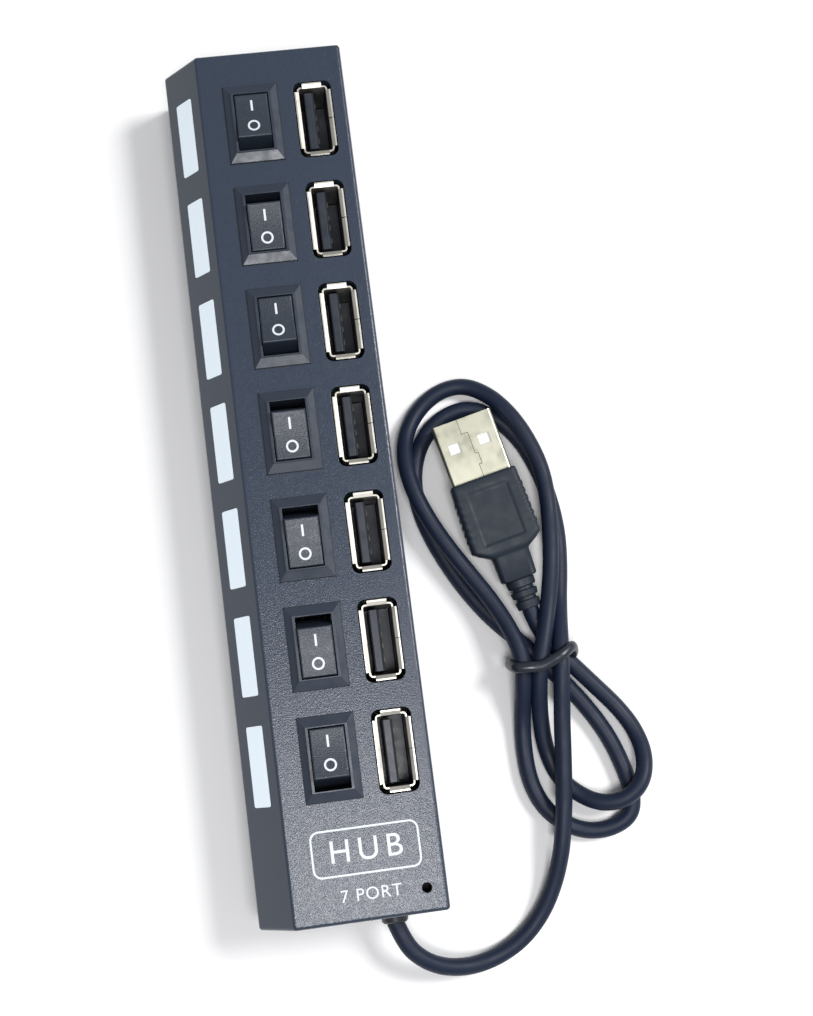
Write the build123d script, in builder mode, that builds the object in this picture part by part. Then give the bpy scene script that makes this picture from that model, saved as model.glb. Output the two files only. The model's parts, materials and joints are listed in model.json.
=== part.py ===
"""Seven-socket USB hub: a switch for each socket, and a cord tied in a hank."""

from build123d import *
import os
from math import cos, radians, sin, tan

os.makedirs("parts", exist_ok=True)

# Case. X is the width, Y the length, Z up from the surface that the hub lies on.
CASE_LENGTH = 160.8
CASE_WIDTH = 33.7
CASE_HEIGHT = 22.0
BEVEL_WIDTH = 6.4
BEVEL_DROP = 7.7
WALL = 2.0
PARTING_HEIGHT = 3.0
EDGE_RADIUS = 0.7
LIP_HEIGHT = 2.5
LIP_THICKNESS = 1.2
CUT_THROUGH = 1.5 * WALL
BOTTOM_EDGE_RADIUS = 0.5
FIT = 0.1

# Rows of switch, socket and window along the case.
ROWS = 7
PITCH = 19.65
FIRST_ROW = 66.1
ROWS_CENTRE = FIRST_ROW - PITCH * (ROWS - 1) / 2
ROW_POSITIONS = [FIRST_ROW - PITCH * row for row in range(ROWS)]
PRESSED_AT_FAR_END = [True, False, True, False, False, False, True]

# Windows on the bevel, and the clear strip behind them.
WINDOW_LENGTH = 14.4
WINDOW_WIDTH = 4.65
WINDOW_RADIUS = 0.4
GUIDE_WIDTH = 6.4
GUIDE_THICKNESS = 1.2
GUIDE_PAST_LAST_ROW = 9.0
GUIDE_PAST_FIRST_ROW = 7.6

# Rocker switch with a 15 by 10 mm bezel.
SWITCH_X = -0.95
BEZEL_WIDTH = 10.0
BEZEL_LENGTH = 15.0
BEZEL_EDGE = 0.35
BEZEL_HEIGHT = 1.3
RIM_WIDTH = 7.5
RIM_LENGTH = 11.6
RIM_HEIGHT = 0.25
OPENING_WIDTH = 6.5
OPENING_LENGTH = 11.1
BODY_WIDTH = 8.4
BODY_LENGTH = 13.4
BODY_BOTTOM = 9.2
BODY_WALL = 0.8
CATCH_REACH = 0.5
CATCH_HEIGHT = 1.6
CATCH_TAPER = 12.0
PIVOT_HEIGHT = 16.9
ROCKER_TILT = 8.0
ROCKER_FACE = 7.1
ROCKER_HALF_FACE = 4.4
ROCKER_HOLLOW = 0.3
ROCKER_HALF_WAIST = 5.3
ROCKER_WIDTH = 6.2
ROCKER_WAIST_HEIGHT = 0.2
ROCKER_HALF_BOTTOM = 3.2
ROCKER_BOTTOM = -1.6
ROCKER_EDGE_RADIUS = 0.3
NOSE_HALF_ROOT = 1.0
NOSE_HALF_TIP = 0.6
NOSE_BOTTOM = -4.8
TRUNNION_RADIUS = 1.0
TRUNNION_REACH = 3.9
TRUNNION_CLEARANCE = 0.05
LEVER_PIVOT_HEIGHT = 11.4
LEVER_TILT = 8.0
LEVER_LENGTH = 8.0
LEVER_WIDTH = 2.4
LEVER_THICKNESS = 0.4
LEVER_BEAD_RADIUS = 0.28
LEVER_EDGE = 0.08
TERMINAL_WIDTH = 2.0
TERMINAL_THICKNESS = 0.6
END_TERMINAL_Y = -3.4
END_TERMINAL_DROP = 0.55
PIN_STICKS_OUT = 0.5

# Upright type A socket.
PORT_X = 10.67
PORT_Y_SHIFT = -0.15
PORT_CUTOUT = (7.2, 14.9)
PORT_CUTOUT_RADIUS = 1.5
PORT_INSIDE = (5.1, 12.5)
PORT_SHEET = 0.3
PORT_CORNER_RADIUS = 0.4
PORT_FLARE_HEIGHT = 0.3
PORT_LIP_FLAT = 0.3
PORT_LIP_EDGE = 0.25
PORT_LIP_TOP = (6.8, 14.4)
PORT_SIDE_LIP = 11.2
PORT_END_LIP = 3.6
TONGUE_GAP = 0.9
TONGUE_THICKNESS = 1.8
TONGUE_LENGTH = 11.0
TONGUE_RECESS = 0.8
TONGUE_EDGE = 0.2
TONGUE_LEAD_IN = 0.45
TONGUE_BASE_HEIGHT = 4.0
CONTACT_OFFSETS = [-3.5, -1.0, 1.0, 3.5]
CONTACT_WIDTH = 1.0
CONTACT_SHEET = 0.2
CONTACT_RECESS = 1.6

# Circuit board and what holds it.
BOARD_TOP = 8.0
BOARD_THICKNESS = 1.6
BOARD_LENGTH = 155.2
BOARD_WIDTH = 28.4
COVER_SCREWS = [(-9.0, 76.1), (12.3, 76.1), (-9.0, -75.5), (12.0, -64.5)]
BOARD_SCREWS = [(5.2, 56.3), (5.2, 17.0), (5.2, -22.3), (5.2, -61.6)]
BOSS_RADIUS = 2.2
BOSS_ROOT = 0.3
POST_RADIUS = 1.7
COVER_PILOT_RADIUS = 1.1
COVER_PILOT_DEPTH = 12.0
COVER_SCREW_HOLE_RADIUS = 1.3
COVER_HEAD_HOLE_RADIUS = 2.4
COVER_HEAD_HOLE_DEPTH = 1.2
BOARD_PILOT_RADIUS = 0.8
BOARD_PILOT_DEPTH = 7.0
BOARD_CORNER_RADIUS = 1.0
BOARD_SCREW_HOLE_RADIUS = 0.95
BOARD_BOSS_HOLE_RADIUS = 2.5
STATUS_LED = (13.2, -76.1)
STATUS_HOLE_RADIUS = 0.9
STATUS_RECESS = 4.0

# Parts on the board.
CHIPS = [(-7.6, 30.0), (-7.6, -34.0)]
CHIP_SIDE = 7.0
CHIP_HEIGHT = 1.1
CHIP_EDGE = 0.2
CRYSTAL_PLACE = (-5.0, 12.0)
CRYSTAL_LENGTH = 11.4
CRYSTAL_WIDTH = 4.7
CRYSTAL_HEIGHT = 3.2
CRYSTAL_EDGE_RADIUS = 0.4
CAPACITOR_RADIUS = 2.0
CAPACITOR_HEIGHT = 5.4
CAPACITOR_EDGE_RADIUS = 0.3
LED_X = -12.6
LED_WIDTH = 1.25
LED_LENGTH = 2.0
LED_HEIGHT = 0.8
STATUS_LED_WIDTH = 1.6

# Cord, its exit and the hank.
CORD_DIAMETER = 3.2
EXIT_X = 7.5
EXIT_HEIGHT = 8.0
RELIEF_REACH = 2.6
GLAND_RADIUS = 2.9
GLAND_SLOT_WIDTH = 8.4
GLAND_SLOT_DEPTH = 6.0
RELIEF_RADIUS_AT_WALL = 2.75
RELIEF_RADIUS_AT_END = 2.1
RELIEF_ROUNDING = 0.3
RELIEF_FLANGE_RADIUS = 3.7
RELIEF_FLANGE_THICKNESS = 1.4
WIRE_RADIUS = 0.5
WIRE_OFFSETS = [-2.1, -0.7, 0.7, 2.1]
WIRE_DROP = 0.8
WIRE_BEND_RADIUS = 1.5
LAYER = 3.35
HANK_HEIGHT = 6.9
BUNDLE_LOW = 2.1
BUNDLE_HIGH = 8.9
TIE_Y = -39.0
TIE_THICKNESS = 1.9
TIE_WIDTH = 2.1
TIE_MIDDLE_X = 41.85
TIE_INNER_LENGTH = 12.0
TIE_OUTER_RADIUS = 2.6
TIE_INNER_RADIUS = 0.6
LEAD_ROUTE = [
    (7.5, -82.9, 8.0),
    (8.7, -86.9, 7.9),
    (11.4, -90.2, 7.2),
    (15.4, -92.5, 5.7),
    (20.6, -93.4, 3.8),
    (26.2, -92.5, 2.3),
    (31.4, -89.9, 1.75),
    (35.6, -85.6, 2.0),
    (38.4, -80.4, 3.1),
    (40.1, -75.2, 4.5),
    (40.9, -71.4, 5.1),
]

# Plug, in its own plane: X across, Y along to the tip, Z up.
PLUG_ORIGIN = Vector(39.4, -23.2, 4.6)
PLUG_TURN = 13.0
PLUG_TILT = 3.0
PLUG_ROLL = 6.0
GRIP_LENGTH = 20.8
GRIP_HALF_WIDTH = 7.0
GRIP_HALF_HEIGHT = 4.0
NECK_LENGTH = 5.5
NECK_HALF_WIDTH = 3.6
NECK_HALF_HEIGHT = 3.2
PLUG_RELIEF_LENGTH = 5.8
SHOULDER_LENGTH = 2.0
SHOULDER_STEP = 0.4
GRIP_DRAFT = 0.3
GRIP_EDGE_RADIUS = 1.3
NECK_EDGE_RADIUS = 1.4
PLUG_SHELL = (12.0, 4.5)
PLUG_SHELL_REACH = 12.1
PLUG_SHEET = 0.3
PLUG_CORNER_RADIUS = 0.6
PLUG_ROOT = 4.0
PLUG_HOLE_X = 3.0
PLUG_HOLE_FROM_TIP = 5.2
PLUG_HOLE = (2.2, 2.0)
PLUG_INSULATOR_THICKNESS = 1.9
PLUG_INSULATOR_RADIUS = 0.3
PLUG_INSULATOR_RECESS = 0.4
PLUG_CONTACT_RECESS = 1.2


def write(piece, name):
    """Label a finished sub-part and write its STEP file."""
    piece.part.label = name
    export_step(piece.part, f"parts/{name}.step")


def case_section(low):
    """Corners of the case's section in XZ, from a given height up."""
    half = CASE_WIDTH / 2
    return [
        (-half, low),
        (half, low),
        (half, CASE_HEIGHT),
        (BEVEL_WIDTH - half, CASE_HEIGHT),
        (-half, CASE_HEIGHT - BEVEL_DROP),
    ]


def bevel_plane():
    """Plane of the bevel: X along the case, Y down the slope, Z outward."""
    middle = (BEVEL_WIDTH / 2 - CASE_WIDTH / 2, 0, CASE_HEIGHT - BEVEL_DROP / 2)
    return Plane(origin=middle, x_dir=(0, 1, 0), z_dir=(-BEVEL_DROP, 0, BEVEL_WIDTH))


def tilted_plane(row_y, height, angle):
    """Plane across a switch at a pivot: X along the tilted piece, Y its up, Z along the pivot."""
    along = (0, cos(radians(angle)), sin(radians(angle)))
    return Plane(origin=(SWITCH_X, row_y, height), x_dir=along, z_dir=(1, 0, 0))


def plug_plane():
    """Plane of the plug, turned, tilted and rolled as it lies on the hank."""
    turn = radians(PLUG_TURN)
    tilt = radians(PLUG_TILT)
    roll = radians(PLUG_ROLL)
    level = Vector(cos(turn), sin(turn), 0)
    along = Vector(-sin(turn) * cos(tilt), cos(turn) * cos(tilt), sin(tilt))
    across = level * cos(roll) + level.cross(along) * sin(roll)
    return Plane(origin=PLUG_ORIGIN, x_dir=across, z_dir=across.cross(along))


def plug_section(distance):
    """Plane square to the plug's length, at a distance from the back of its grip."""
    plug = plug_plane()
    return Plane(origin=plug.from_local_coords((0, distance, 0)), x_dir=plug.x_dir, z_dir=plug.y_dir)


def corner_radii(route):
    """Radius of the arc at each inner point of a route, as large as its runs allow."""
    radii = []
    for before, here, after in zip(route, route[1:], route[2:]):
        arriving = Vector(*here) - Vector(*before)
        leaving = Vector(*after) - Vector(*here)
        half_turn = radians(arriving.get_angle(leaving)) / 2
        radii.append(0.45 * min(arriving.length, leaving.length) / tan(half_turn))
    return radii


def make_top_cover():
    with BuildPart() as cover:
        with BuildSketch(Plane.XZ):
            Polygon(*case_section(PARTING_HEIGHT), align=None)
        extrude(amount=CASE_LENGTH / 2, both=True)
        upper = cover.edges().filter_by(lambda edge: edge.bounding_box().max.Z > PARTING_HEIGHT + FIT)
        fillet(upper, EDGE_RADIUS)
        with BuildSketch(Plane.XZ):
            Polygon(*case_section(PARTING_HEIGHT - 2 * WALL), align=None)
            offset(amount=-WALL, kind=Kind.INTERSECTION, mode=Mode.REPLACE)
        extrude(amount=CASE_LENGTH / 2 - WALL, both=True, mode=Mode.SUBTRACT)
        with BuildSketch(Plane.XY.offset(WALL)):
            with Locations(*COVER_SCREWS):
                Circle(BOSS_RADIUS)
        extrude(amount=CASE_HEIGHT - 2 * WALL + BOSS_ROOT)
        with BuildSketch(Plane.XY.offset(BOARD_TOP)):
            with Locations(*BOARD_SCREWS):
                Circle(POST_RADIUS)
        extrude(amount=CASE_HEIGHT - WALL + BOSS_ROOT - BOARD_TOP)
        with BuildSketch(Plane.XY.offset(WALL)):
            with Locations(*COVER_SCREWS):
                Circle(COVER_PILOT_RADIUS)
        extrude(amount=COVER_PILOT_DEPTH, mode=Mode.SUBTRACT)
        with BuildSketch(Plane.XY.offset(BOARD_TOP)):
            with Locations(*BOARD_SCREWS):
                Circle(BOARD_PILOT_RADIUS)
        extrude(amount=BOARD_PILOT_DEPTH, mode=Mode.SUBTRACT)
        with BuildSketch(Plane.XY.offset(CASE_HEIGHT)):
            with Locations((SWITCH_X, ROWS_CENTRE)):
                with GridLocations(PITCH, PITCH, 1, ROWS):
                    Rectangle(BODY_WIDTH + 2 * FIT, BODY_LENGTH + 2 * FIT)
            with Locations((PORT_X, ROWS_CENTRE + PORT_Y_SHIFT)):
                with GridLocations(PITCH, PITCH, 1, ROWS):
                    RectangleRounded(*PORT_CUTOUT, PORT_CUTOUT_RADIUS)
            with Locations(STATUS_LED):
                Circle(STATUS_HOLE_RADIUS)
        extrude(amount=-CUT_THROUGH, mode=Mode.SUBTRACT)
        with BuildSketch(bevel_plane()):
            with Locations((ROWS_CENTRE, 0)):
                with GridLocations(PITCH, PITCH, ROWS, 1):
                    RectangleRounded(WINDOW_LENGTH, WINDOW_WIDTH, WINDOW_RADIUS)
        extrude(amount=-CUT_THROUGH, mode=Mode.SUBTRACT)
        with BuildSketch(Plane.XZ.offset(CASE_LENGTH / 2)):
            with Locations((EXIT_X, EXIT_HEIGHT)):
                Circle(GLAND_RADIUS)
        extrude(amount=-CUT_THROUGH, mode=Mode.SUBTRACT)
    write(cover, "top_cover")


def make_bottom_cover():
    inner_width = CASE_WIDTH - 2 * WALL
    inner_length = CASE_LENGTH - 2 * WALL
    with BuildPart() as cover:
        with BuildSketch():
            Rectangle(CASE_WIDTH, CASE_LENGTH)
        extrude(amount=PARTING_HEIGHT)
        fillet(cover.edges().filter_by(Axis.Z), EDGE_RADIUS)
        fillet(cover.faces().sort_by(Axis.Z)[0].edges(), BOTTOM_EDGE_RADIUS)
        with BuildSketch(Plane.XY.offset(WALL)):
            Rectangle(inner_width - 2 * LIP_THICKNESS, inner_length - 2 * LIP_THICKNESS)
            with Locations(*COVER_SCREWS):
                Circle(BOSS_RADIUS + FIT)
        extrude(amount=WALL, mode=Mode.SUBTRACT)
        with BuildSketch(Plane.XY.offset(PARTING_HEIGHT)):
            Rectangle(inner_width - 2 * FIT, inner_length - 2 * FIT)
            offset(amount=-LIP_THICKNESS, kind=Kind.INTERSECTION, mode=Mode.SUBTRACT)
            with Locations(*COVER_SCREWS):
                Circle(BOSS_RADIUS + FIT, mode=Mode.SUBTRACT)
            with Locations((EXIT_X, -inner_length / 2)):
                Rectangle(GLAND_SLOT_WIDTH, GLAND_SLOT_DEPTH, mode=Mode.SUBTRACT)
        extrude(amount=LIP_HEIGHT)
        with BuildSketch():
            with Locations(*COVER_SCREWS):
                Circle(COVER_HEAD_HOLE_RADIUS)
        extrude(amount=COVER_HEAD_HOLE_DEPTH, mode=Mode.SUBTRACT)
        with BuildSketch():
            with Locations(*COVER_SCREWS):
                Circle(COVER_SCREW_HOLE_RADIUS)
        extrude(amount=2 * WALL, mode=Mode.SUBTRACT)
    write(cover, "bottom_cover")


def make_screws(name, places, head_low, head_radius, head_height, shank_radius, shank_length):
    """Identical pan-head screws, driven upward, with a cross recess."""
    slot_length = head_radius * 1.2
    slot_width = head_radius * 0.3
    slot_depth = head_height * 0.6
    with BuildPart() as screws:
        with BuildSketch(Plane.XY.offset(head_low)):
            with Locations(*places):
                Circle(head_radius)
        extrude(amount=head_height)
        with BuildSketch(Plane.XY.offset(head_low + head_height)):
            with Locations(*places):
                Circle(shank_radius)
        extrude(amount=shank_length)
        with BuildSketch(Plane.XY.offset(head_low)):
            with Locations(*places):
                Rectangle(slot_length, slot_width)
                Rectangle(slot_width, slot_length)
        extrude(amount=slot_depth, mode=Mode.SUBTRACT)
    write(screws, name)


def make_circuit_board():
    with BuildPart() as board:
        with BuildSketch(Plane.XY.offset(BOARD_TOP - BOARD_THICKNESS)):
            RectangleRounded(BOARD_WIDTH, BOARD_LENGTH, BOARD_CORNER_RADIUS)
            with Locations(*COVER_SCREWS):
                Circle(BOARD_BOSS_HOLE_RADIUS, mode=Mode.SUBTRACT)
            with Locations(*BOARD_SCREWS):
                Circle(BOARD_SCREW_HOLE_RADIUS, mode=Mode.SUBTRACT)
            with Locations((EXIT_X, -BOARD_LENGTH / 2)):
                Rectangle(GLAND_SLOT_WIDTH, 2 * (WALL + FIT) + GLAND_SLOT_DEPTH, mode=Mode.SUBTRACT)
            for row_y in ROW_POSITIONS:
                with Locations((SWITCH_X, row_y), (SWITCH_X, row_y + END_TERMINAL_Y)):
                    Rectangle(TERMINAL_WIDTH + FIT, TERMINAL_THICKNESS + FIT, mode=Mode.SUBTRACT)
        extrude(amount=BOARD_THICKNESS)
    write(board, "circuit_board")


def make_board_parts():
    """Chips and crystal under the board, capacitors and lights on it."""
    under = BOARD_TOP - BOARD_THICKNESS
    with BuildPart() as chips:
        with BuildSketch(Plane.XY.offset(under)):
            with Locations(*CHIPS):
                Rectangle(CHIP_SIDE, CHIP_SIDE)
        extrude(amount=-CHIP_HEIGHT)
        chamfer(chips.faces().group_by(Axis.Z)[0].edges(), CHIP_EDGE)
    write(chips, "hub_controllers")
    with BuildPart() as crystal:
        with BuildSketch(Plane.XY.offset(under)):
            with Locations(CRYSTAL_PLACE):
                SlotOverall(CRYSTAL_LENGTH, CRYSTAL_WIDTH)
        extrude(amount=-CRYSTAL_HEIGHT)
        fillet(crystal.faces().sort_by(Axis.Z)[0].edges(), CRYSTAL_EDGE_RADIUS)
    write(crystal, "crystal")
    with BuildPart() as capacitors:
        with BuildSketch(Plane.XY.offset(BOARD_TOP)):
            with Locations((PORT_X, ROWS_CENTRE + PORT_Y_SHIFT)):
                with GridLocations(PITCH, PITCH, 1, ROWS - 1):
                    Circle(CAPACITOR_RADIUS)
        extrude(amount=CAPACITOR_HEIGHT)
        fillet(capacitors.faces().group_by(Axis.Z)[-1].edges(), CAPACITOR_EDGE_RADIUS)
    write(capacitors, "capacitors")
    with BuildPart() as lights:
        with BuildSketch(Plane.XY.offset(BOARD_TOP)):
            with Locations((LED_X, ROWS_CENTRE)):
                with GridLocations(PITCH, PITCH, 1, ROWS):
                    Rectangle(LED_WIDTH, LED_LENGTH)
        extrude(amount=LED_HEIGHT)
    write(lights, "indicator_leds")
    with BuildPart() as status:
        with BuildSketch(Plane.XY.offset(BOARD_TOP)):
            with Locations(STATUS_LED):
                Rectangle(STATUS_LED_WIDTH, LED_LENGTH)
        extrude(amount=LED_HEIGHT)
        with BuildSketch(Plane.XY.offset(BOARD_TOP + LED_HEIGHT)):
            with Locations(STATUS_LED):
                Circle(STATUS_HOLE_RADIUS - FIT / 2)
        extrude(amount=CASE_HEIGHT - STATUS_RECESS - BOARD_TOP - LED_HEIGHT)
    write(status, "status_led")


def make_light_guide():
    """One clear strip behind the bevel with a raised pad in each window."""
    strip_start = ROW_POSITIONS[-1] - GUIDE_PAST_LAST_ROW
    strip_end = ROW_POSITIONS[0] + GUIDE_PAST_FIRST_ROW
    with BuildPart() as guide:
        with BuildSketch(bevel_plane().offset(-WALL - FIT)):
            with Locations(((strip_start + strip_end) / 2, 0)):
                Rectangle(strip_end - strip_start, GUIDE_WIDTH)
        extrude(amount=-GUIDE_THICKNESS)
        with BuildSketch(bevel_plane().offset(-WALL - FIT)):
            with Locations((ROWS_CENTRE, 0)):
                with GridLocations(PITCH, PITCH, ROWS, 1):
                    RectangleRounded(WINDOW_LENGTH - FIT, WINDOW_WIDTH - FIT, WINDOW_RADIUS)
        extrude(amount=WALL + FIT * 1.5)
    write(guide, "light_guide")


def lip_section(middle, side, half_inside, half_top):
    """Corners of a lip that flares outward from the sleeve to the cover's top."""
    flare_low = CASE_HEIGHT - PORT_FLARE_HEIGHT
    return [
        (middle + side * half_inside, flare_low),
        (middle + side * (half_inside + PORT_SHEET), flare_low),
        (middle + side * half_top, CASE_HEIGHT - PORT_LIP_EDGE),
        (middle + side * half_top, CASE_HEIGHT),
        (middle + side * (half_top - PORT_LIP_FLAT), CASE_HEIGHT),
    ]


def make_port_shell(row, row_y):
    """Sheet metal sleeve with four lips flared at its mouth."""
    inside_x, inside_y = PORT_INSIDE
    lip_x, lip_y = PORT_LIP_TOP
    centre_y = row_y + PORT_Y_SHIFT
    flare_low = CASE_HEIGHT - PORT_FLARE_HEIGHT
    sleeve_radius = PORT_CORNER_RADIUS + PORT_SHEET
    with BuildPart() as shell:
        with BuildSketch(Plane.XY.offset(BOARD_TOP)):
            with Locations((PORT_X, centre_y)):
                RectangleRounded(inside_x + 2 * PORT_SHEET, inside_y + 2 * PORT_SHEET, sleeve_radius)
                RectangleRounded(inside_x, inside_y, PORT_CORNER_RADIUS, mode=Mode.SUBTRACT)
        extrude(amount=flare_low - BOARD_TOP)
        for side in (-1, 1):
            with BuildSketch(Plane.XZ.offset(-centre_y)):
                Polygon(*lip_section(PORT_X, side, inside_x / 2, lip_x / 2), align=None)
            extrude(amount=PORT_SIDE_LIP / 2, both=True)
            with BuildSketch(Plane.YZ.offset(PORT_X)):
                Polygon(*lip_section(centre_y, side, inside_y / 2, lip_y / 2), align=None)
            extrude(amount=PORT_END_LIP / 2, both=True)
    write(shell, f"port_shell_{row}")


def make_port_insulator(row, row_y):
    """Base block at the bottom of the sleeve, with a tongue that stops short of the mouth."""
    inside_x, inside_y = PORT_INSIDE
    row_centre = row_y + PORT_Y_SHIFT
    back = PORT_X - inside_x / 2 + TONGUE_GAP
    front = back + TONGUE_THICKNESS
    base = BOARD_TOP + TONGUE_BASE_HEIGHT
    top = CASE_HEIGHT - TONGUE_RECESS
    with BuildPart() as insulator:
        with BuildSketch(Plane.XY.offset(BOARD_TOP)):
            with Locations((PORT_X, row_centre)):
                Rectangle(inside_x - 2 * FIT, inside_y - 2 * FIT)
        extrude(amount=TONGUE_BASE_HEIGHT)
        with BuildSketch(Plane.XZ.offset(-row_centre)):
            Polygon(
                (back, base),
                (front, base),
                (front, top - TONGUE_LEAD_IN),
                (front - TONGUE_LEAD_IN, top),
                (back + TONGUE_EDGE, top),
                (back, top - TONGUE_EDGE),
                align=None,
            )
        extrude(amount=TONGUE_LENGTH / 2, both=True)
    write(insulator, f"port_insulator_{row}")


def make_port_contacts():
    """Four flat springs on the open side of each tongue."""
    low = BOARD_TOP + TONGUE_BASE_HEIGHT
    face_x = PORT_X - PORT_INSIDE[0] / 2 + TONGUE_GAP + TONGUE_THICKNESS
    with BuildPart() as contacts:
        with BuildSketch(Plane.XY.offset(low)):
            for row_y in ROW_POSITIONS:
                for across in CONTACT_OFFSETS:
                    with Locations((face_x + CONTACT_SHEET / 2, row_y + PORT_Y_SHIFT + across)):
                        Rectangle(CONTACT_SHEET, CONTACT_WIDTH)
        extrude(amount=CASE_HEIGHT - TONGUE_RECESS - CONTACT_RECESS - low)
    write(contacts, "port_contacts")


def make_switch_housing(row, row_y):
    """Bezel that slopes up to a thin rim, with the switch's box under it."""
    with BuildPart() as housing:
        with BuildSketch(Plane.XY.offset(CASE_HEIGHT)):
            with Locations((SWITCH_X, row_y)):
                Rectangle(BEZEL_WIDTH, BEZEL_LENGTH)
        extrude(amount=BEZEL_EDGE)
        with BuildSketch(Plane.XY.offset(CASE_HEIGHT + BEZEL_EDGE)):
            with Locations((SWITCH_X, row_y)):
                Rectangle(BEZEL_WIDTH, BEZEL_LENGTH)
        with BuildSketch(Plane.XY.offset(CASE_HEIGHT + BEZEL_HEIGHT - RIM_HEIGHT)):
            with Locations((SWITCH_X, row_y)):
                Rectangle(RIM_WIDTH, RIM_LENGTH)
        loft()
        with BuildSketch(Plane.XY.offset(CASE_HEIGHT + BEZEL_HEIGHT - RIM_HEIGHT)):
            with Locations((SWITCH_X, row_y)):
                Rectangle(RIM_WIDTH, RIM_LENGTH)
        extrude(amount=RIM_HEIGHT)
        with BuildSketch(Plane.XY.offset(BODY_BOTTOM)):
            with Locations((SWITCH_X, row_y)):
                Rectangle(BODY_WIDTH, BODY_LENGTH)
        extrude(amount=CASE_HEIGHT - BODY_BOTTOM)
        with BuildSketch(Plane.XY.offset(CASE_HEIGHT - WALL)):
            with Locations((SWITCH_X, row_y)):
                Rectangle(BODY_WIDTH / 2, BODY_LENGTH + 2 * CATCH_REACH)
        extrude(amount=-CATCH_HEIGHT, taper=CATCH_TAPER)
        with BuildSketch(Plane.XY.offset(BODY_BOTTOM + BODY_WALL)):
            with Locations((SWITCH_X, row_y)):
                Rectangle(BODY_WIDTH - 2 * BODY_WALL, BODY_LENGTH - 2 * BODY_WALL)
        extrude(amount=CASE_HEIGHT - BODY_BOTTOM - BODY_WALL, mode=Mode.SUBTRACT)
        with BuildSketch(Plane.XY.offset(CASE_HEIGHT)):
            with Locations((SWITCH_X, row_y)):
                Rectangle(OPENING_WIDTH, OPENING_LENGTH)
        extrude(amount=BEZEL_HEIGHT, mode=Mode.SUBTRACT)
        with BuildSketch(Plane.XY.offset(BODY_BOTTOM)):
            with Locations((SWITCH_X, row_y), (SWITCH_X, row_y + END_TERMINAL_Y)):
                Rectangle(TERMINAL_WIDTH + FIT, TERMINAL_THICKNESS + FIT)
        extrude(amount=BODY_WALL, mode=Mode.SUBTRACT)
        with BuildSketch(tilted_plane(row_y, PIVOT_HEIGHT, 0)):
            Circle(TRUNNION_RADIUS + TRUNNION_CLEARANCE)
        extrude(amount=BODY_WIDTH, both=True, mode=Mode.SUBTRACT)
    write(housing, f"switch_housing_{row}")


def make_switch_rocker(row, row_y, tilt):
    """Tapered rocker with a hollow face, on two trunnions, with a nose that works the lever."""
    plane = tilted_plane(row_y, PIVOT_HEIGHT, tilt)
    with BuildPart() as rocker:
        with BuildSketch(plane):
            with BuildLine():
                Polyline(
                    (-ROCKER_HALF_FACE, ROCKER_FACE),
                    (-ROCKER_HALF_WAIST, ROCKER_WAIST_HEIGHT),
                    (-ROCKER_HALF_BOTTOM, ROCKER_BOTTOM),
                    (-NOSE_HALF_ROOT, ROCKER_BOTTOM),
                    (-NOSE_HALF_TIP, NOSE_BOTTOM),
                    (NOSE_HALF_TIP, NOSE_BOTTOM),
                    (NOSE_HALF_ROOT, ROCKER_BOTTOM),
                    (ROCKER_HALF_BOTTOM, ROCKER_BOTTOM),
                    (ROCKER_HALF_WAIST, ROCKER_WAIST_HEIGHT),
                    (ROCKER_HALF_FACE, ROCKER_FACE),
                )
                ThreePointArc(
                    (ROCKER_HALF_FACE, ROCKER_FACE),
                    (0, ROCKER_FACE - ROCKER_HOLLOW),
                    (-ROCKER_HALF_FACE, ROCKER_FACE),
                )
            make_face()
        extrude(amount=ROCKER_WIDTH / 2, both=True)
        up = Axis(plane.origin, plane.y_dir)
        fillet(rocker.faces().sort_by(up)[-1].edges(), ROCKER_EDGE_RADIUS)
        with BuildSketch(plane):
            Circle(TRUNNION_RADIUS)
        extrude(amount=TRUNNION_REACH, both=True)
    write(rocker, f"switch_rocker_{row}")


def make_switch_lever(row, row_y, tilt):
    """See-saw contact strip with a bead that rolls on the centre terminal."""
    plane = tilted_plane(row_y, LEVER_PIVOT_HEIGHT, tilt)
    with BuildPart() as lever:
        with BuildSketch(plane):
            Rectangle(LEVER_LENGTH, LEVER_THICKNESS)
        extrude(amount=LEVER_WIDTH / 2, both=True)
        chamfer(lever.edges().filter_by(Axis.X), LEVER_EDGE)
        with BuildSketch(plane):
            Circle(LEVER_BEAD_RADIUS)
        extrude(amount=LEVER_WIDTH / 2, both=True)
    write(lever, f"switch_lever_{row}")


def make_switch_terminals():
    """A centre post under each lever, and a shorter post that its end meets."""
    pin_low = BOARD_TOP - BOARD_THICKNESS - PIN_STICKS_OUT
    centre_high = LEVER_PIVOT_HEIGHT - LEVER_THICKNESS / 2 - FIT
    end_high = centre_high - END_TERMINAL_DROP
    with BuildPart() as terminals:
        for shift, high in ((0, centre_high), (END_TERMINAL_Y, end_high)):
            with BuildSketch(Plane.XY.offset(pin_low)):
                with Locations((SWITCH_X, ROWS_CENTRE + shift)):
                    with GridLocations(PITCH, PITCH, 1, ROWS):
                        Rectangle(TERMINAL_WIDTH, TERMINAL_THICKNESS)
            extrude(amount=high - pin_low)
    write(terminals, "switch_terminals")


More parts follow.
